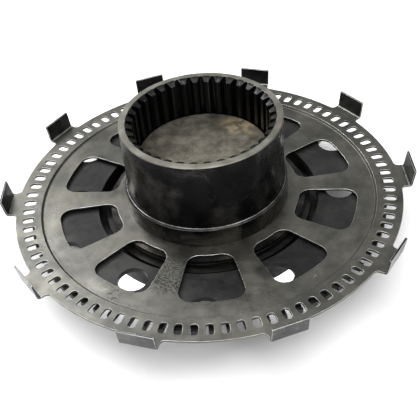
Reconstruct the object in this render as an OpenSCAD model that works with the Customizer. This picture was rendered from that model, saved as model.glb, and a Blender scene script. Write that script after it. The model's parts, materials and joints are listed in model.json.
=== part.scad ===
// Planetary gear set of a truck transmission: a toothed ring gear drum on a stamped
// drive plate, running over a four-planet carrier with a sun gear at its centre.
// The axis is Z, the origin lies on it under the carrier hub, and all sizes are in mm.

/* [Stance] */
// Height of the slotted band's top face above the underside of the carrier hub
band_z = 38; // [36:1:60]
// Turn of the gear stage about the axis, against the tabs of the plate
stage_turn = -1.2; // [-5:0.1:5]
// Turn of the hole pattern in the carrier flange, against the tabs of the plate
flange_turn = -2.7; // [-5:0.1:5]

/* [Gear teeth] */
// Tooth module
gear_module = 2.7333; // [2.70:0.0001:2.75]
// Pressure angle in degrees
pressure_angle = 20; // [18:1:22]
// Teeth of the sun and of each planet
pinion_teeth = 12; // [12:12:12]
// Teeth of the ring gear
ring_teeth = 36; // [36:36:36]
// Number of planets
planet_count = 4; // [3:1:4]
// Face width of the sun and the planets
face_w = 21.8; // [16:0.2:22]
// Circular tooth thickness of the ring gear and the sun at the pitch circle
thick_tooth = 4.7; // [4.5:0.05:4.85]
// Circular tooth thickness of the planets at the pitch circle
thin_tooth = 3.5; // [3.3:0.05:3.6]

/* [Ring gear drum] */
// Outer radius of the drum
drum_r = 56.2; // [56:0.1:57]
// Height of the drum's rim above the slotted band
rim_h = 64.8; // [58:0.2:80]
// Drop of the bevelled tooth ends below the rim
tooth_bevel = 2.4; // [1:0.1:3]
// Radius of the flange that carries the plate
drum_flange_r = 71; // [68:0.5:72]
// Thickness of that flange
drum_flange_t = 6.5; // [5:0.5:7]

/* [Collar] */
// Outer radius of the collar ring on the drum
collar_r = 58.6; // [58:0.1:60]
// Height of the collar's lip above the slotted band
collar_h = 14.6; // [10:0.1:20]
// Bevel of the lip
collar_bevel = 1.2; // [0.5:0.1:1.5]

/* [Drive plate] */
// Outer radius of the plate
plate_r = 140; // [139:0.5:142]
// Sheet thickness
sheet = 1.6; // [1.4:0.1:1.8]
// Inner radius of the slotted band
band_in_r = 121.8; // [121:0.1:123]
// Outer radius of the raised plateau
plateau_r = 113.2; // [112.5:0.1:114]
// Depth of the plateau's face below the band
plateau_drop = 0.9; // [0.5:0.1:1.2]
// Depth of the rolled groove's floor below the band
groove_drop = 1.7; // [1.3:0.1:1.8]
// Radial length of the groove's slopes
groove_slope = 1.2; // [0.8:0.1:1.5]

/* [Windows] */
// Number of windows, and of tabs
window_count = 10; // [10:1:10]
// Radius of a window's inner edge
window_in_r = 67; // [66:0.5:70]
// Radius of a window's outer edge
window_out_r = 108; // [104:0.5:109]
// Angle that a window spans
window_span = 24.8; // [20:0.2:27]
// Corner radius of a window
window_corner = 8.5; // [6:0.5:9]

/* [Slots] */
// Number of slots
slot_count = 85; // [72:1:90]
// Angle of the first slot from the first tab
slot_turn = 2.26; // [0:0.01:4.2]
// Radius of the slot circle
slot_mid_r = 130.8; // [130:0.1:131.5]
// Radial length of a slot
slot_l = 8.6; // [7:0.1:9]
// Width of a slot
slot_w = 5.2; // [4:0.1:6]
// Corner radius of a slot
slot_corner = 2.1; // [1.5:0.1:2.1]

/* [Tabs] */
// Width of a tab
tab_w = 24.2; // [20:0.2:28]
// Radius at which a tab's inner face turns up
tab_bend_r = 144.6; // [143:0.1:147]
// Height of a tab's top edge above the band
tab_h = 12.7; // [8:0.1:16]
// Outward lean of a tab
tab_lean = 8; // [0:1:15]
// Radius of the fillets beside a tab
tab_fillet = 3; // [2:0.5:4]

/* [Carrier flange] */
// Outer radius over the lugs
lug_tip_r = 129; // [127:0.5:130]
// Radius between the lugs
lug_root_r = 121.5; // [120:0.5:123]
// Number of lugs
lug_count = 72; // [60:1:90]
// Radius of the flange's central opening
dish_r = 80.5; // [79:0.5:82]
// Depth of the flange's face below the band
flange_drop = 4.3; // [3.5:0.1:5]
// Thickness of the flange
flange_t = 4; // [3:0.5:5]
// Radius of the flange holes
flange_hole_r = 10.2; // [8:0.1:11]
// Pitch radius of the inner row of six holes
inner_hole_pitch_r = 96; // [94:0.5:98]
// Pitch radius of the outer row of six holes
outer_hole_pitch_r = 111; // [108:0.5:111]

/* [Carrier cover] */
// Radius of the cover disc inside the ring gear
cover_r = 46.5; // [45:0.1:46.6]
// Height of the cover's face above the band
cover_h = 35.3; // [35:0.1:38]

/* [Hidden] */
$fn = 96;
eps = 0.5;
fit = 0.04;
axial_gap = 0.1;

// Gear geometry
pinion_pitch_r = gear_module * pinion_teeth / 2;
ring_pitch_r = gear_module * ring_teeth / 2;
orbit_r = ring_pitch_r - pinion_pitch_r;
addendum = 0.7 * gear_module;
dedendum = 0.97 * gear_module;
ring_tip_r = ring_pitch_r - 0.8 * gear_module;
ring_root_r = ring_pitch_r + 0.79 * gear_module;
flank_steps = 4;

// Steps of the arcs in the plate's cut-outs
arc_steps = 6;
slot_steps = 3;

// Heights, all measured from the underside of the carrier hub
rim_z = band_z + rim_h;
plateau_z = band_z - plateau_drop;
drum_flange_z = plateau_z - sheet;
drum_bottom_z = drum_flange_z - drum_flange_t;
race_t = 2;
roller_gap = 3;
dish_floor_z = drum_bottom_z - 2 * race_t - roller_gap;
dish_floor_t = 5;
floor_z = dish_floor_z - dish_floor_t;
flange_top_z = band_z - flange_drop;
deck_z = band_z + 3;
plate_t = 5.7;
cover_t = 2.3;
cover_z = band_z + cover_h - cover_t;
carrier_plate_z = cover_z - plate_t;
washer_t = (carrier_plate_z - deck_z - face_w) / 2 - axial_gap;
gear_z = deck_z + washer_t + axial_gap;

// Carrier
dish_wall = 4;
deck_r = 46.3;
spigot_r = 50;
spigot_step = 6;
hub_r = 30;
post_r = 6.5;
post_orbit_r = 36.5;
pin_r = 7;
pin_sink = 6;
planet_bush_r = 9;
washer_r = 13;
screw_r = 3;
screw_head_r = 5;
screw_head_t = 4;
screw_l = 18;

// Sun
shaft_r = 11;
nose_r = 9;
hub_bush_r = 14;
nose_bush_r = 13;
nose_bush_t = 4.3;
shaft_bore_r = 5;

// Bearing and bushes
guide_bush_r = 53;
race_in_r = 58;
race_out_r = 75;
cage_in_r = 60;
cage_out_r = 73.5;
cage_t = 2.2;
roller_count = 30;
roller_r = roller_gap / 2 - 0.03;
roller_l = 9;
seal_w = 1.8;
seal_depth = 2;
seal_proud = 0.4;

function planet_angle(k) = stage_turn + 360 / planet_count * (k - 1);
function polar(r, a) = [r * cos(a), r * sin(a)];
function arc(c, r, from, to, steps) =
    [for (i = [0:steps]) c + polar(r, from + (to - from) * i / steps)];

// Involute helpers, with angles in degrees
function involute(a) = tan(a) * 180 / PI - a;
function flank_half_angle(pitch_r, half_pitch, r) =
    let (base_r = pitch_r * cos(pressure_angle))
    half_pitch + involute(pressure_angle) - involute(acos(min(1, base_r / max(r, base_r))));

// Outline of one tooth as [radius, angle] pairs, from its left root to its right root
function tooth_side(pitch_r, half_pitch, root_r, tip_r) = [
    for (i = [0:flank_steps])
        let (r = root_r + (tip_r - root_r) * i / flank_steps)
        [r, flank_half_angle(pitch_r, half_pitch, r)]
];

function tooth(side) = concat(
    [for (p = side) [p[0], -p[1]]],
    [for (i = [len(side) - 1:-1:0]) side[i]]
);

module gear_outline(teeth, pitch_r, root_r, tip_r, thickness, first = 0) {
    half_pitch = thickness / pitch_r * 90 / PI;
    outline = tooth(tooth_side(pitch_r, half_pitch, root_r, tip_r));
    polygon([
        for (i = [0:teeth - 1]) for (p = outline) polar(p[0], p[1] + first + 360 / teeth * i)
    ]);
}

module tube(r_out, r_in, h) {
    difference() {
        cylinder(r = r_out, h = h);
        translate([0, 0, -eps]) cylinder(r = r_in, h = h + 2 * eps);
    }
}

module annulus(r_out, r_in) {
    difference() {
        circle(r = r_out);
        circle(r = r_in);
    }
}

module at_planets() {
    for (k = [1:planet_count]) rotate(planet_angle(k)) translate([orbit_r, 0, 0]) children();
}

module at_posts() {
    for (k = [1:planet_count])
        rotate(planet_angle(k) + 180 / planet_count) translate([post_orbit_r, 0, 0]) children();
}

// ---- Ring gear side -------------------------------------------------------------------

module ring_gear() {
    rim_bevel = 0.6;
    gap_thickness = 2 * PI * ring_pitch_r / ring_teeth - thick_tooth;
    bore_z = drum_bottom_z + spigot_step + axial_gap;
    bevel_land = 0.3;
    bevel_r = ring_root_r + bevel_land;
    inner_r = ring_tip_r - eps;
    color("#26272a") difference() {
        rotate_extrude() difference() {
            polygon([
                [inner_r, drum_bottom_z], [drum_flange_r, drum_bottom_z],
                [drum_flange_r, drum_flange_z], [drum_r, drum_flange_z],
                [drum_r, rim_z - rim_bevel], [drum_r - rim_bevel, rim_z],
                [bevel_r, rim_z], [ring_tip_r, rim_z - tooth_bevel],
                [inner_r, rim_z - tooth_bevel]
            ]);
            translate([drum_flange_r - seal_depth, seal_z()]) square([2 * seal_depth, seal_w]);
            translate([0, drum_bottom_z - eps]) square([guide_bush_r, bore_z - drum_bottom_z + eps]);
        }
        translate([0, 0, drum_bottom_z - eps]) linear_extrude(rim_z - drum_bottom_z + 2 * eps)
            rotate(stage_turn)
            gear_outline(ring_teeth, ring_pitch_r, ring_tip_r, ring_root_r, gap_thickness);
    }
}

function seal_z() = drum_bottom_z + (drum_flange_t - seal_w) / 2;

module seal_ring() {
    color("#3a3b3d") translate([0, 0, seal_z() + axial_gap / 2])
        tube(drum_flange_r + seal_proud, drum_flange_r - seal_depth + axial_gap, seal_w - axial_gap);
}

module collar_ring() {
    color("#3a3b3d") translate([0, 0, plateau_z]) rotate_extrude() polygon([
        [drum_r, 0], [collar_r, 0], [collar_r, collar_top() - collar_bevel],
        [collar_r - collar_bevel, collar_top()], [drum_r, collar_top()]
    ]);
}

function collar_top() = band_z + collar_h - plateau_z;

module guide_bush() {
    color("#8a6d3b") translate([0, 0, drum_bottom_z])
        tube(guide_bush_r, spigot_r + fit, spigot_step);
}

module race_upper() {
    color("#4a4c4f") translate([0, 0, drum_bottom_z - race_t]) tube(race_out_r, race_in_r, race_t);
}

// ---- Drive plate ----------------------------------------------------------------------

module plate_section() {
    top = [
        [drum_r, -plateau_drop], [plateau_r, -plateau_drop],
        [plateau_r + groove_slope, -groove_drop], [band_in_r - groove_slope, -groove_drop],
        [band_in_r, 0]
    ];
    under = [for (i = [len(top) - 1:-1:0]) top[i] - [0, sheet]];
    polygon(concat(top, under));
}

// Annular sector with rounded corners
function window_outline() =
    let (half = window_span / 2)
    let (out_c = window_out_r - window_corner)
    let (in_c = window_in_r + window_corner)
    let (out_a = half - asin(window_corner / out_c))
    let (in_a = half - asin(window_corner / in_c))
    concat(
        arc([0, 0], window_out_r, -out_a, out_a, arc_steps),
        arc(polar(out_c, out_a), window_corner, out_a, half + 90, arc_steps),
        arc(polar(in_c, in_a), window_corner, half + 90, in_a + 180, arc_steps),
        arc([0, 0], window_in_r, in_a, -in_a, arc_steps),
        arc(polar(in_c, -in_a), window_corner, 180 - in_a, 270 - half, arc_steps),
        arc(polar(out_c, -out_a), window_corner, 270 - half, 360 - out_a, arc_steps)
    );

module slot() {
    l = slot_l / 2 - slot_corner;
    w = slot_w / 2 - slot_corner;
    translate([slot_mid_r, 0]) polygon([
        for (q = [0:3]) for (p = arc(
            [l * (q == 0 || q == 3 ? 1 : -1), w * (q < 2 ? 1 : -1)],
            slot_corner, 90 * q, 90 * (q + 1), slot_steps
        )) p
    ]);
}

// Flat root of a tab in plan, with a fillet on each side
module tab_root() {
    side = tab_w / 2;
    fillet_y = side + tab_fillet;
    fillet_x = sqrt(pow(plate_r + tab_fillet, 2) - pow(fillet_y, 2));
    lean = atan2(fillet_y, fillet_x);
    inside_r = plate_r - 2 * tab_fillet;
    polygon(concat(
        [[inside_r, side], [inside_r, -side]],
        arc([fillet_x, -fillet_y], tab_fillet, 180 - lean, 90, slot_steps),
        [[tab_bend_r, -side], [tab_bend_r, side]],
        arc([fillet_x, fillet_y], tab_fillet, 270, 180 + lean, slot_steps)
    ));
}

// A tab beyond its root in section: X is the radius and Y the height above the band
module tab_section() {
    bend_in = 1.2;
    bend_out = bend_in + sheet;
    centre = [tab_bend_r, bend_in];
    up = (tab_h - bend_in) * [tan(tab_lean), 1];
    polygon(concat(
        arc(centre, bend_out, 270, 360 - tab_lean, arc_steps),
        [centre + polar(bend_out, -tab_lean) + up, centre + polar(bend_in, -tab_lean) + up],
        arc(centre, bend_in, 360 - tab_lean, 270, arc_steps)
    ));
}

module at_tabs() {
    for (k = [0:window_count - 1]) rotate(360 / window_count * k) children();
}

module drive_plate() {
    cut_h = 8 * sheet;
    color("#7d7c76") translate([0, 0, band_z]) difference() {
        rotate_extrude() plate_section();
        translate([0, 0, -cut_h / 2]) linear_extrude(cut_h)
            for (k = [0:window_count - 1]) rotate(360 / window_count * (k + 0.5))
                polygon(window_outline());
    }
}

module slotted_band() {
    color("#7d7c76") translate([0, 0, band_z]) difference() {
        translate([0, 0, -sheet]) union() {
            tube(plate_r, band_in_r, sheet);
            at_tabs() linear_extrude(sheet) tab_root();
        }
        translate([0, 0, -2 * sheet]) linear_extrude(4 * sheet)
            for (k = [0:slot_count - 1]) rotate(slot_turn + 360 / slot_count * k) slot();
    }
}

module band_tabs() {
    color("#6d6c68") translate([0, 0, band_z]) at_tabs() rotate([90, 0, 0])
        linear_extrude(tab_w, center = true) tab_section();
}

// ---- Thrust bearing -------------------------------------------------------------------

module roller() {
    translate([(cage_in_r + cage_out_r - roller_l) / 2, 0, 0]) rotate([0, 90, 0])
        cylinder(r = roller_r, h = roller_l);
}

module bearing_rollers() {
    color("#9a9b9c") translate([0, 0, dish_floor_z + race_t + roller_gap / 2])
        for (k = [0:roller_count - 1]) rotate(360 / roller_count * k) roller();
}

module bearing_cage() {
    pocket_l = roller_l + 2 * axial_gap;
    pocket_w = 2 * (roller_r + axial_gap);
    color("#6b5d42")
        translate([0, 0, dish_floor_z + race_t + (roller_gap - cage_t) / 2]) linear_extrude(cage_t)
        difference() {
            annulus(cage_out_r, cage_in_r);
            for (k = [0:roller_count - 1]) rotate(360 / roller_count * k)
                translate([(cage_in_r + cage_out_r) / 2, 0])
                square([pocket_l, pocket_w], center = true);
        }
}

module race_lower() {
    color("#4a4c4f") translate([0, 0, dish_floor_z]) tube(race_out_r, race_in_r, race_t);
}

// ---- Carrier --------------------------------------------------------------------------

module lug_gaps() {
    pitch = 360 / lug_count;
    reach = lug_tip_r + eps;
    root_half = 0.23 * pitch;
    tip_half = 0.28 * pitch;
    for (i = [0:lug_count - 1]) rotate(pitch * i) polygon([
        polar(lug_root_r, -root_half), polar(reach, -tip_half),
        polar(reach, tip_half), polar(lug_root_r, root_half)
    ]);
}

module flange_holes() {
    for (k = [0:5]) {
        rotate(60 * k) translate([inner_hole_pitch_r, 0, 0]) children();
        rotate(60 * k + 30) translate([outer_hole_pitch_r, 0, 0]) children();
    }
}

module carrier_flange() {
    under_z = flange_top_z - flange_t;
    color("#46464a") difference() {
        translate([0, 0, under_z]) tube(lug_tip_r, dish_r, flange_t);
        translate([0, 0, under_z - eps]) rotate(flange_turn) {
            linear_extrude(flange_t + 2 * eps) lug_gaps();
            flange_holes() cylinder(r = flange_hole_r, h = flange_t + 2 * eps);
        }
    }
}

module carrier_dish() {
    wall_r = dish_r + dish_wall;
    wall_top_z = flange_top_z - flange_t;
    color("#3c3c40") rotate_extrude() polygon([
        [spigot_r, floor_z], [wall_r, floor_z], [wall_r, wall_top_z], [dish_r, wall_top_z],
        [dish_r, dish_floor_z], [spigot_r, dish_floor_z]
    ]);
}

module carrier_body() {
    step_z = drum_bottom_z + spigot_step;
    color("#5c5b57") {
        difference() {
            rotate_extrude() polygon([
                [hub_bush_r, 0], [hub_r, 0], [hub_r, floor_z], [spigot_r, floor_z],
                [spigot_r, step_z], [deck_r, step_z], [deck_r, deck_z], [hub_bush_r, deck_z]
            ]);
            translate([0, 0, deck_z - pin_sink]) at_planets() cylinder(r = pin_r, h = 2 * pin_sink);
        }
        difference() {
            translate([0, 0, deck_z]) at_posts() cylinder(r = post_r, h = carrier_plate_z - deck_z);
            translate([0, 0, screw_tip_z()]) at_posts() cylinder(r = screw_r, h = 2 * screw_l);
        }
    }
}

function screw_tip_z() = cover_z - screw_head_t - screw_l;

module carrier_plate() {
    color("#5c5b57") translate([0, 0, carrier_plate_z]) difference() {
        tube(deck_r, nose_bush_r, plate_t);
        translate([0, 0, -eps]) at_planets() cylinder(r = pin_r, h = plate_t + 2 * eps);
        translate([0, 0, -eps]) at_posts() cylinder(r = screw_r, h = plate_t + 2 * eps);
        translate([0, 0, plate_t - screw_head_t]) at_posts()
            cylinder(r = screw_head_r, h = screw_head_t + eps);
    }
}

module carrier_cover() {
    edge = 0.5;
    spigot = plate_t - nose_bush_t;
    color("#77736a") translate([0, 0, cover_z]) rotate_extrude() polygon([
        [0, -spigot], [nose_bush_r, -spigot], [nose_bush_r, 0], [cover_r, 0],
        [cover_r, cover_t - edge], [cover_r - edge, cover_t], [0, cover_t]
    ]);
}

module carrier_screws() {
    hex_r = 2.9;
    color("#303134") at_posts() {
        translate([0, 0, screw_tip_z()]) cylinder(r = screw_r, h = screw_l);
        translate([0, 0, cover_z - screw_head_t]) difference() {
            cylinder(r = screw_head_r, h = screw_head_t);
            translate([0, 0, screw_head_t / 2]) cylinder(r = hex_r, h = screw_head_t, $fn = 6);
        }
    }
}

module planet_pins() {
    color("#9a9b9c") translate([0, 0, deck_z - pin_sink]) at_planets()
        cylinder(r = pin_r, h = cover_z - deck_z + pin_sink);
}

module planet_washers() {
    color("#8a6d3b") at_planets() {
        translate([0, 0, deck_z]) tube(washer_r, pin_r, washer_t);
        translate([0, 0, carrier_plate_z - washer_t]) tube(washer_r, pin_r, washer_t);
    }
}

// ---- Planets --------------------------------------------------------------------------

module planet_gear(k) {
    color("#6f7072") rotate(planet_angle(k)) translate([orbit_r, 0, gear_z]) difference() {
        linear_extrude(face_w) gear_outline(
            pinion_teeth, pinion_pitch_r, pinion_pitch_r - dedendum, pinion_pitch_r + addendum,
            thin_tooth
        );
        translate([0, 0, -eps]) cylinder(r = planet_bush_r, h = face_w + 2 * eps);
    }
}

module planet_bush(k) {
    color("#8a6d3b") rotate(planet_angle(k)) translate([orbit_r, 0, gear_z])
        tube(planet_bush_r, pin_r + fit, face_w);
}

// ---- Sun ------------------------------------------------------------------------------

module sun_gear() {
    half_tooth = 180 / pinion_teeth;
    color("#6f7072") difference() {
        union() {
            translate([0, 0, gear_z]) linear_extrude(face_w) rotate(stage_turn) gear_outline(
                pinion_teeth, pinion_pitch_r, pinion_pitch_r - dedendum,
                pinion_pitch_r + addendum, thick_tooth, half_tooth
            );
            translate([0, 0, 1]) cylinder(r = shaft_r, h = gear_z);
            translate([0, 0, gear_z + face_w - eps])
                cylinder(r = nose_r, h = carrier_plate_z + nose_bush_t - gear_z - face_w);
        }
        translate([0, 0, -eps]) cylinder(r = shaft_bore_r, h = rim_z);
    }
}

module sun_washers() {
    color("#8a6d3b") {
        translate([0, 0, deck_z]) tube(pinion_pitch_r, hub_bush_r - 1, washer_t);
        translate([0, 0, carrier_plate_z - washer_t]) tube(pinion_pitch_r, nose_r + 1, washer_t);
    }
}

module hub_bush() {
    color("#8a6d3b") tube(hub_bush_r, shaft_r + fit, deck_z);
}

module nose_bush() {
    color("#8a6d3b") translate([0, 0, carrier_plate_z]) tube(nose_bush_r, nose_r + fit, nose_bush_t);
}

ring_gear();
drive_plate();
slotted_band();
band_tabs();
collar_ring();
seal_ring();
guide_bush();
race_upper();
bearing_cage();
bearing_rollers();
race_lower();
carrier_flange();
carrier_dish();
carrier_body();
carrier_plate();
carrier_cover();
carrier_screws();
planet_pins();
planet_washers();
sun_washers();
hub_bush();
nose_bush();
sun_gear();
planet_gear(1);  // planet_gear_1
planet_gear(2);  // planet_gear_2
planet_gear(3);  // planet_gear_3
planet_gear(4);  // planet_gear_4
planet_bush(1);  // planet_bush_1
planet_bush(2);  // planet_bush_2
planet_bush(3);  // planet_bush_3
planet_bush(4);  // planet_bush_4
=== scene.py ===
"""Planetary gear set on a pale studio floor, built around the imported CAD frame. All lengths are in metres."""

import json
import math

import bmesh
import bpy
from mathutils import Matrix, Vector


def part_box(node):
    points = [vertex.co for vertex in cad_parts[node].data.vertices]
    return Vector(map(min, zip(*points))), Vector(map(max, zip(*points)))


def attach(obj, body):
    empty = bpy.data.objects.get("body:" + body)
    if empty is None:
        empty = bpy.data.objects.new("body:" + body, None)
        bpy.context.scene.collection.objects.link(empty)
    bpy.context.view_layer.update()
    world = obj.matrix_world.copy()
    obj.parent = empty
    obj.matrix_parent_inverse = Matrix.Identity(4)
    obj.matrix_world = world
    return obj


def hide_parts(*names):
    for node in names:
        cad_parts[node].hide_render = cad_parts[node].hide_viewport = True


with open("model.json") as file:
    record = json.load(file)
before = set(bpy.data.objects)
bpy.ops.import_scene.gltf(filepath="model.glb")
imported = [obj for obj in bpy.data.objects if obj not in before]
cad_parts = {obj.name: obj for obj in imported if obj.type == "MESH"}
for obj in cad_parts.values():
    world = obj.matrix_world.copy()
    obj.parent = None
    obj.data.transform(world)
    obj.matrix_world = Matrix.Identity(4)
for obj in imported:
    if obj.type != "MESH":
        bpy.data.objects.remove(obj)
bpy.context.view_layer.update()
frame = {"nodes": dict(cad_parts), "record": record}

MM = 0.001

# Places that the surfaces refer to, all read from the frame
RIM_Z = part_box("ring_gear")[1].z
COVER_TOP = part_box("carrier_cover")[1].z
BAND_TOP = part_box("drive_plate")[1].z
FLANGE_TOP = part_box("carrier_flange")[1].z

# Where the camera stands
STAND = Vector((14.83, -424.76, 394.84)) * MM


def at(radius, degrees, z):
    """A point given by its radius in mm and its angle about the gear axis."""
    turn = math.radians(degrees)
    return (radius * MM * math.cos(turn), radius * MM * math.sin(turn), z)


# ---- Node helpers -------------------------------------------------------------------------


class Shader:
    """A Principled material whose varying inputs are built from small node chains."""

    def __init__(self, name, metallic, rough):
        self.material = bpy.data.materials.new(name)
        self.material.use_nodes = True
        self.tree = self.material.node_tree
        self.bsdf = self.tree.nodes["Principled BSDF"]
        self.bsdf.inputs["Metallic"].default_value = metallic
        self.bsdf.inputs["Roughness"].default_value = rough
        self.place = self.node("ShaderNodeTexCoord").outputs["Object"]
        self.normal = None

    def node(self, kind, **values):
        made = self.tree.nodes.new(kind)
        for key, value in values.items():
            setattr(made, key, value)
        return made

    def feed(self, socket, value):
        if isinstance(value, bpy.types.NodeSocket):
            self.tree.links.new(value, socket)
        else:
            socket.default_value = value

    def math(self, operation, a, b=0.0):
        made = self.node("ShaderNodeMath", operation=operation)
        self.feed(made.inputs[0], a)
        self.feed(made.inputs[1], b)
        return made.outputs[0]

    def vector(self, operation, a, b=(0, 0, 0)):
        made = self.node("ShaderNodeVectorMath", operation=operation)
        self.feed(made.inputs[0], a)
        self.feed(made.inputs[1], b)
        return made.outputs["Value" if operation in ("LENGTH", "DISTANCE") else "Vector"]

    def span(self, value, low, high, to_low=0.0, to_high=1.0):
        """value from low to high becomes to_low to to_high, smoothly and within limits."""
        made = self.node("ShaderNodeMapRange", interpolation_type="SMOOTHSTEP")
        for socket, number in zip(made.inputs, (value, low, high, to_low, to_high)):
            self.feed(socket, number)
        return made.outputs[0]

    def noise(self, scale, detail=3.0, rough=0.55, place=None, distortion=0.0):
        made = self.node("ShaderNodeTexNoise")
        self.feed(made.inputs["Vector"], place or self.place)
        made.inputs["Scale"].default_value = scale
        made.inputs["Detail"].default_value = detail
        made.inputs["Roughness"].default_value = rough
        made.inputs["Distortion"].default_value = distortion
        return made.outputs["Fac"]

    def height(self):
        made = self.node("ShaderNodeSeparateXYZ")
        self.feed(made.inputs[0], self.place)
        return made.outputs[2]

    def radius(self):
        flat = self.vector("MULTIPLY", self.place, (1, 1, 0))
        return self.vector("LENGTH", flat)

    def turned(self, around, outward, along):
        """Coordinates for turning streaks: around counts about the axis, outward and along per metre."""
        flat = self.vector("MULTIPLY", self.place, (1, 1, 0))
        ring = self.vector("MULTIPLY", self.vector("NORMALIZE", flat), (around, around, 0))
        rise = self.math("MULTIPLY", self.height(), along)
        depth = self.math("ADD", self.math("MULTIPLY", self.radius(), outward), rise)
        up = self.node("ShaderNodeCombineXYZ")
        self.feed(up.inputs[2], depth)
        return self.vector("ADD", ring, up.outputs[0])

    def near(self, point, inner, outer):
        """1 within inner of the point, falling to 0 at outer."""
        return self.span(self.vector("DISTANCE", self.place, point), inner, outer, 1.0, 0.0)

    def mix(self, factor, a, b):
        made = self.node("ShaderNodeMix", data_type="RGBA")
        self.feed(made.inputs[0], factor)
        for socket, colour in ((made.inputs[6], a), (made.inputs[7], b)):
            self.feed(socket, colour if isinstance(colour, bpy.types.NodeSocket) else (*colour, 1))
        return made.outputs[2]

    def colour(self, value):
        self.feed(self.bsdf.inputs["Base Color"], value)

    def rough(self, value):
        self.feed(self.bsdf.inputs["Roughness"], value)

    def bump(self, height, distance):
        """Adds a layer of relief, distance metres deep for a height of 1."""
        made = self.node("ShaderNodeBump")
        made.inputs["Strength"].default_value = 1.0
        made.inputs["Distance"].default_value = distance
        self.feed(made.inputs["Height"], height)
        if self.normal:
            self.feed(made.inputs["Normal"], self.normal)
        self.normal = made.outputs[0]
        self.feed(self.bsdf.inputs["Normal"], self.normal)


# ---- Materials ----------------------------------------------------------------------------


def plate_steel():
    """Bare pressed steel with olive and grey stains, circular wear and fine scratches."""
    s = Shader("plate_steel", 0.95, 0.4)
    stains = s.span(s.noise(26, 5, 0.6), 0.36, 0.66)
    wear = s.span(s.noise(1.0, 4, 0.6, s.turned(3, 110, 0)), 0.38, 0.7)
    tone = s.mix(stains, (0.078, 0.078, 0.073), (0.15, 0.146, 0.125))
    tone = s.mix(s.math("MULTIPLY", wear, 0.3), tone, (0.2, 0.196, 0.176))
    clouds = s.span(s.noise(70, 5, 0.65, distortion=0.5), 0.5, 0.72)
    tone = s.mix(s.math("MULTIPLY", clouds, 0.5), tone, (0.075, 0.072, 0.062))
    specks = s.span(s.noise(900, 3, 0.7), 0.6, 0.7)
    tone = s.mix(s.math("MULTIPLY", specks, 0.7), tone, (0.04, 0.037, 0.03))
    peened = s.near(at(88, -108.5, BAND_TOP), 8 * MM, 17 * MM)
    pits = s.span(s.noise(640, 2, 0.5), 0.48, 0.62)
    s.colour(s.mix(s.math("MULTIPLY", pits, s.math("MULTIPLY", peened, 0.75)), tone, (0.05, 0.05, 0.046)))
    s.rough(s.span(s.noise(60, 4, 0.6), 0.3, 0.7, 0.26, 0.46))
    s.bump(s.noise(700, 3, 0.6), 0.05 * MM)
    s.bump(s.math("MULTIPLY", pits, peened), -0.25 * MM)
    marks = s.near(at(112, -123, BAND_TOP), 2 * MM, 9 * MM)
    s.bump(s.math("MULTIPLY", s.span(s.noise(420, 1, 0.5), 0.55, 0.62), marks), -0.35 * MM)
    return s.material


def edge_highlight_steel():
    """The rounded edges of the pressings, painted lighter than the sheet: a painted highlight."""
    s = Shader("edge_highlight_steel", 1.0, 0.34)
    s.colour(s.mix(s.span(s.noise(160, 3), 0.35, 0.65), (0.24, 0.24, 0.225), (0.5, 0.5, 0.48)))
    s.bump(s.noise(500, 2), 0.03 * MM)
    return s.material


def lip_highlight_steel():
    """The collar's lip, a dull grey line on the black finish: a painted highlight."""
    s = Shader("lip_highlight_steel", 0.95, 0.36)
    s.colour(s.mix(s.span(s.noise(120, 4), 0.38, 0.66), (0.07, 0.07, 0.07), (0.2, 0.2, 0.195)))
    s.bump(s.noise(500, 2), 0.02 * MM)
    return s.material


def drum_steel():
    """Black-finished steel, glossy, with a mottled worn bloom and fine turning marks."""
    s = Shader("drum_steel", 0.85, 0.25)
    bloom = s.span(s.noise(34, 7, 0.7, distortion=0.6), 0.44, 0.7)
    tone = s.mix(bloom, (0.012, 0.012, 0.013), (0.085, 0.079, 0.07))
    scuffs = s.span(s.noise(420, 4, 0.7), 0.6, 0.74)
    tone = s.mix(s.math("MULTIPLY", scuffs, s.math("MULTIPLY", bloom, 0.8)), tone, (0.17, 0.16, 0.14))
    s.colour(tone)
    s.rough(s.span(s.noise(50, 4, 0.6), 0.35, 0.7, 0.2, 0.42))
    s.bump(s.noise(1.0, 2, 0.5, s.turned(3, 0, 2600)), 0.012 * MM)
    s.bump(s.noise(600, 3), 0.02 * MM)
    return s.material


def rim_steel():
    """The drum's machined end, olive grey and matt."""
    s = Shader("rim_steel", 0.9, 0.45)
    tone = s.mix(s.span(s.noise(90, 4), 0.35, 0.68), (0.15, 0.146, 0.122), (0.225, 0.22, 0.19))
    s.colour(tone)
    s.rough(s.span(s.noise(240, 3), 0.3, 0.7, 0.4, 0.55))
    s.bump(s.noise(1.0, 2, 0.5, s.turned(4, 1800, 0)), 0.02 * MM)
    return s.material


def flank_steel():
    """Oily tooth flanks, black with thin bright bands where the planets run."""
    s = Shader("flank_steel", 0.85, 0.3)
    streaks = s.span(s.noise(1.0, 3, 0.6, s.turned(60, 300, 12)), 0.56, 0.72)
    s.colour(s.mix(streaks, (0.012, 0.012, 0.013), (0.09, 0.09, 0.088)))
    s.rough(s.span(s.noise(120, 3), 0.3, 0.7, 0.25, 0.45))
    return s.material


def flange_steel():
    """Dark matt flange with a fine grain."""
    s = Shader("flange_steel", 0.75, 0.5)
    tone = s.mix(s.span(s.noise(45, 4), 0.35, 0.7), (0.016, 0.016, 0.016), (0.034, 0.034, 0.033))
    specks = s.span(s.noise(1100, 2), 0.64, 0.72)
    s.colour(s.mix(s.math("MULTIPLY", specks, 0.4), tone, (0.12, 0.12, 0.115)))
    s.rough(s.span(s.noise(200, 3), 0.3, 0.7, 0.4, 0.56))
    s.bump(s.noise(900, 3), 0.03 * MM)
    return s.material


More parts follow.
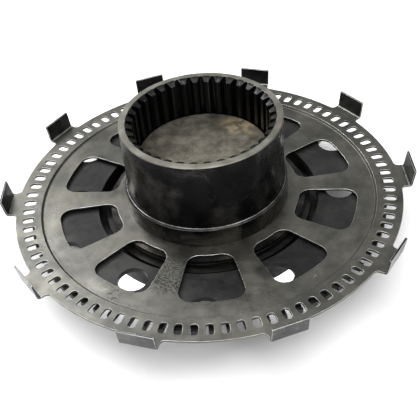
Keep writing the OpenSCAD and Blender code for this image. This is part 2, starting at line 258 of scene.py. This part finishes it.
def painted_shade_steel():
    """Painted shade for sheet edges, races and the dish: a near-black tone standing in for the shade in the
    slot and window walls and the dish gap.
    """
    s = Shader("painted_shade_steel", 0.7, 0.42)
    s.colour(s.mix(s.span(s.noise(60, 4), 0.35, 0.7), (0.007, 0.007, 0.007), (0.026, 0.025, 0.023)))
    s.rough(s.span(s.noise(150, 3), 0.3, 0.7, 0.34, 0.52))
    s.bump(s.noise(600, 3), 0.03 * MM)
    return s.material


def tab_painted_shade_steel():
    """The bent tabs, painted darker than the band as shade, with rubbed patches."""
    s = Shader("tab_painted_shade_steel", 0.95, 0.3)
    tone = s.mix(s.span(s.noise(55, 5, 0.6), 0.38, 0.68), (0.04, 0.041, 0.043), (0.085, 0.085, 0.081))
    rubbed = s.span(s.noise(260, 4, 0.7), 0.58, 0.72)
    s.colour(s.mix(s.math("MULTIPLY", rubbed, 0.5), tone, (0.19, 0.19, 0.18)))
    s.rough(s.span(s.noise(90, 4), 0.3, 0.7, 0.22, 0.4))
    s.bump(s.noise(600, 3), 0.04 * MM)
    return s.material


def cover_steel():
    """Cover disc: warm grey, blotched, with a rusty tide mark on one side."""
    s = Shader("cover_steel", 0.8, 0.5)
    blotches = s.span(s.noise(75, 7, 0.72, distortion=0.2), 0.36, 0.66)
    tone = s.mix(blotches, (0.07, 0.063, 0.05), (0.165, 0.154, 0.124))
    grime = s.span(s.noise(140, 5, 0.7), 0.5, 0.7)
    tone = s.mix(s.math("MULTIPLY", grime, 0.55), tone, (0.06, 0.052, 0.04))
    side = s.near(at(42, 45, COVER_TOP), 2 * MM, 22 * MM)
    tide = s.math("MULTIPLY", s.span(s.noise(120, 5, 0.7), 0.4, 0.6), side)
    tone = s.mix(s.math("MULTIPLY", tide, 0.8), tone, (0.42, 0.34, 0.2))
    dots = s.span(s.noise(480, 2, 0.6), 0.66, 0.72)
    s.colour(s.mix(dots, tone, (0.05, 0.04, 0.03)))
    s.rough(s.span(s.noise(80, 4), 0.3, 0.7, 0.42, 0.62))
    s.bump(s.noise(1.0, 2, 0.5, s.turned(4, 1500, 0)), 0.015 * MM)
    s.bump(s.noise(500, 3), 0.04 * MM)
    return s.material


def plain_metal(name, dark, light, low, high):
    """Ground or turned metal with a little tone and roughness variation."""
    s = Shader(name, 1.0, low)
    s.colour(s.mix(s.span(s.noise(70, 4), 0.35, 0.68), dark, light))
    s.rough(s.span(s.noise(160, 3), 0.3, 0.7, low, high))
    s.bump(s.noise(1.0, 2, 0.5, s.turned(4, 1400, 1400)), 0.01 * MM)
    return s.material


FINISHES = {
    "drum_steel": drum_steel(),
    "plate_steel": plate_steel(),
    "flange_steel": flange_steel(),
    "cover_steel": cover_steel(),
    "gear_steel": plain_metal("gear_steel", (0.16, 0.16, 0.165), (0.26, 0.26, 0.265), 0.3, 0.45),
    "bright_steel": plain_metal("bright_steel", (0.4, 0.4, 0.41), (0.55, 0.55, 0.56), 0.18, 0.3),
    "bronze": plain_metal("bronze", (0.3, 0.2, 0.09), (0.45, 0.31, 0.15), 0.3, 0.45),
}
EDGE_HIGHLIGHT = edge_highlight_steel()
LIP_HIGHLIGHT = lip_highlight_steel()
# Painted shade: a near-black tone for the slot and window walls and the faces inside the dish
PAINTED_SHADE = painted_shade_steel()
RIM = rim_steel()
FLANK = flank_steel()

# ---- Pieces -------------------------------------------------------------------------------

# Points nearer than this are welded, and points this near a slicing plane snap to it
WELD = 0.002 * MM
SLICE_SNAP = 0.001 * MM
# Faces that meet at less than FLAT are merged, and edges sharper than CREASE are rounded
FLAT = math.radians(0.4)
CREASE = math.radians(35)


def near_axis(face, inner, outer):
    """Is the middle of this face between two radii?"""
    return inner < math.hypot(face.center.x, face.center.y) < outer


def slice_sectors(work, count, first):
    """Marks seams on planes through the axis, so that no flat face is left surrounding a hole."""
    for k in range(count):
        turn = math.radians(first + 180 / count * k)
        across = Vector((-math.sin(turn), math.cos(turn), 0))
        everything = work.verts[:] + work.edges[:] + work.faces[:]
        cut = bmesh.ops.bisect_plane(
            work, geom=everything, dist=SLICE_SNAP, plane_co=(0, 0, 0), plane_no=across,
        )
        for part in cut["geom_cut"]:
            if isinstance(part, bmesh.types.BMEdge):
                part.seam = True


def bevel(work, edges, width, segments):
    bmesh.ops.bevel(
        work, geom=edges, offset=width, offset_type="OFFSET", segments=segments, profile=0.5,
        affect="EDGES", clamp_overlap=False, material=1, loop_slide=True,
    )


def soften(node, name, width, segments, sectors):
    """A welded copy of a CAD node with its sharp edges rounded by width. Rounded faces get material 1."""
    mesh = bpy.data.meshes.new(name)
    work = bmesh.new()
    work.from_mesh(frame["nodes"][node].data)
    bmesh.ops.remove_doubles(work, verts=work.verts, dist=WELD)
    if sectors:
        slice_sectors(work, *sectors)
    bmesh.ops.dissolve_limit(
        work, angle_limit=FLAT, verts=work.verts, edges=work.edges, delimit={"SEAM"},
    )
    for face in work.faces:
        face.material_index = 0
    sharp = [e for e in work.edges if e.is_manifold and e.calc_face_angle(0) > CREASE]
    bevel(work, sharp, width, segments)
    for face in work.faces:
        face.smooth = True
    work.to_mesh(mesh)
    work.free()
    piece = bpy.data.objects.new(name, mesh)
    bpy.context.scene.collection.objects.link(piece)
    piece.modifiers.new("weights", "WEIGHTED_NORMAL").mode = "FACE_AREA"
    return piece


def place(node, width, segments=2, edge=None, sectors=None):
    """Builds the piece that stands for a CAD node and puts it on the node's body."""
    row = next(s for s in frame["record"]["subparts"] if s["node"] == node)
    slot = row["material_slot"]
    piece = soften(node, node + "_finished", width, segments, sectors)
    piece.data.materials.append(FINISHES[slot])
    piece.data.materials.append(edge or FINISHES[slot])
    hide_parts(node)
    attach(piece, BODY_OF[node])
    return piece


BODY_OF = {
    node: body
    for body, nodes in frame["record"]["behaviour"]["bodies"].items()
    for node in nodes
}

# The carrier flange's inner row of holes: its pitch radius in mm and its first angle
HOLE_ROW_R = 96
HOLE_TURN = -2.7

# Half-turn slices (how many, and the first one's angle) through the holes of the pierced nodes
WINDOW_SLICES = (5, 18.0)
HOLE_SLICES = (6, HOLE_TURN)
TAB_SLICES = (5, 0.0)
TOOTH_SLICES = (6, -1.2)

# Edge width, steps, the finish of the rounded faces and the slices, where a node isn't plain
PLAIN_EDGE = (0.1 * MM, 2, None)
EDGES = {
    # The sheet nodes' rounded edges take the painted highlight
    "drive_plate": (0.32 * MM, 3, EDGE_HIGHLIGHT, WINDOW_SLICES),
    "slotted_band": (0.22 * MM, 2, EDGE_HIGHLIGHT, TAB_SLICES),
    "band_tabs": (0.3 * MM, 2, EDGE_HIGHLIGHT),
    "ring_gear": (0.06 * MM, 2, None, TOOTH_SLICES),
    # The collar's rounded lip takes a painted highlight
    "collar_ring": (0.35 * MM, 3, LIP_HIGHLIGHT),
    "carrier_flange": (0.12 * MM, 2, None, HOLE_SLICES),
}

pieces = {node: place(node, *EDGES.get(node, PLAIN_EDGE)) for node in BODY_OF}


def finish_faces(node, material, chosen):
    """Gives the faces that chosen picks a finish of their own."""
    mesh = pieces[node].data
    mesh.materials.append(material)
    for face in mesh.polygons:
        if chosen(face):
            face.material_index = len(mesh.materials) - 1


# Radii that bound the finishes: the drum's end, its teeth, the slots and windows, and the groove
RIM_BAND = (51.5 * MM, 1)
TOOTH_BAND = (0, 52 * MM)
PIERCED_BAND = (0, 138 * MM)
GROOVE_BAND = (113.7 * MM, 122.5 * MM)
RIM_DEPTH = 1 * MM
WALL_TILT = 0.3

# The drum's machined end, and its teeth
finish_faces("ring_gear", FLANK, lambda f: near_axis(f, *TOOTH_BAND))
finish_faces("ring_gear", RIM, lambda f: f.center.z > RIM_Z - RIM_DEPTH and near_axis(f, *RIM_BAND))
# The walls of the slots and windows get painted shade, nearly black, and the rolled groove's bends are dull
for sheet_node in ("drive_plate", "slotted_band"):
    finish_faces(
        sheet_node, PAINTED_SHADE,
        lambda f: f.material_index == 0 and abs(f.normal.z) < WALL_TILT and near_axis(f, *PIERCED_BAND),
    )
finish_faces("drive_plate", FINISHES["plate_steel"], lambda f: near_axis(f, *GROOVE_BAND))
# Faces down inside the dish get painted shade, nearly black
for inner_node in ("carrier_dish", "race_lower", "race_upper", "seal_ring"):
    finish_faces(inner_node, PAINTED_SHADE, lambda f: True)
# The tabs get painted shade: a tone darker than the band
finish_faces("band_tabs", tab_painted_shade_steel(), lambda f: f.material_index == 0)

# ---- Studio -------------------------------------------------------------------------------


def floor():
    """A wide pale floor, set just under the hub so that the two faces don't coincide."""
    mesh = bpy.data.meshes.new("floor")
    reach = 60.0
    drop = -0.2 * MM
    corners = [(-reach, -reach, drop), (reach, -reach, drop), (reach, reach, drop), (-reach, reach, drop)]
    mesh.from_pydata(corners, [], [(0, 1, 2, 3)])
    piece = bpy.data.objects.new("floor", mesh)
    bpy.context.scene.collection.objects.link(piece)
    s = Shader("floor_paper", 0.0, 0.9)
    s.colour(s.mix(s.noise(3, 2), (0.84, 0.84, 0.84), (0.86, 0.86, 0.86)))
    s.bsdf.inputs["Emission Color"].default_value = (1, 1, 1, 1)
    s.bsdf.inputs["Emission Strength"].default_value = 0.03
    mesh.materials.append(s.material)


def lamp(name, place_at, target, size, watts):
    light = bpy.data.lights.new(name, "AREA")
    light.shape = "DISK"
    light.size = size
    light.energy = watts
    lamp_object = bpy.data.objects.new(name, light)
    bpy.context.scene.collection.objects.link(lamp_object)
    lamp_object.location = place_at
    aim = Vector(target) - Vector(place_at)
    lamp_object.rotation_euler = aim.to_track_quat("-Z", "Y").to_euler()


def under_lamp(degrees):
    """Lights the floor that the camera sees through the flange hole at this angle."""
    lift = Vector((0, 0, 15 * MM))
    width, watts = 0.04, 0.02
    hole = Vector(at(HOLE_ROW_R, degrees, FLANGE_TOP))
    sight = hole - STAND
    spot = hole - sight * (hole.z / sight.z)
    lamp("under", spot + lift, spot, width, watts)


def camera():
    target = Vector((-0.163, -8.951, 27.351)) * MM
    roll = math.radians(-5.58)
    back = (STAND - target).normalized()
    right = Vector((0, 0, 1)).cross(back).normalized()
    up = back.cross(right)
    across = right * math.cos(roll) + up * math.sin(roll)
    upright = up * math.cos(roll) - right * math.sin(roll)
    data = bpy.data.cameras.new("camera")
    data.lens, data.sensor_width = 65.34, 36
    data.clip_start, data.clip_end = 0.01, 200
    holder = bpy.data.objects.new("camera", data)
    bpy.context.scene.collection.objects.link(holder)
    holder.matrix_world = Matrix.Translation(STAND) @ Matrix((across, upright, back)).transposed().to_4x4()
    bpy.context.scene.camera = holder


def studio():
    """A soft white room, brightest overhead, and dimmer near the floor and to the right."""
    world = bpy.data.worlds.new("studio")
    world.use_nodes = True
    tree = world.node_tree
    direction = tree.nodes.new("ShaderNodeSeparateXYZ")
    tree.links.new(tree.nodes.new("ShaderNodeTexCoord").outputs["Generated"], direction.inputs[0])
    # Each fade: an axis, the span of direction along it, and the strength at the span's two ends
    fades = []
    for axis, span in ((0, (-0.5, 0.7, 1.0, 0.5)), (2, (0.05, 0.55, 0.4, 0.75))):
        fade = tree.nodes.new("ShaderNodeMapRange")
        for socket, number in zip(list(fade.inputs)[1:5], span):
            socket.default_value = number
        tree.links.new(direction.outputs[axis], fade.inputs[0])
        fades.append(fade.outputs[0])
    strength = tree.nodes.new("ShaderNodeMath")
    strength.operation = "MULTIPLY"
    tree.links.new(fades[0], strength.inputs[0])
    tree.links.new(fades[1], strength.inputs[1])
    tree.links.new(strength.outputs[0], tree.nodes["Background"].inputs["Strength"])
    tree.nodes["Background"].inputs["Color"].default_value = (1, 1, 1, 1)
    bpy.context.scene.world = world


floor()
camera()
studio()
LAMP_TARGET = (0, 0, 0.03)
lamp("key", (-0.75, 0.8, 1.2), LAMP_TARGET, 0.9, 15)
lamp("top", (0.1, -0.4, 1.6), LAMP_TARGET, 2.2, 40)
for turn in (-120, -60):
    under_lamp(HOLE_TURN + turn)
bpy.context.scene.view_settings.view_transform = "Standard"
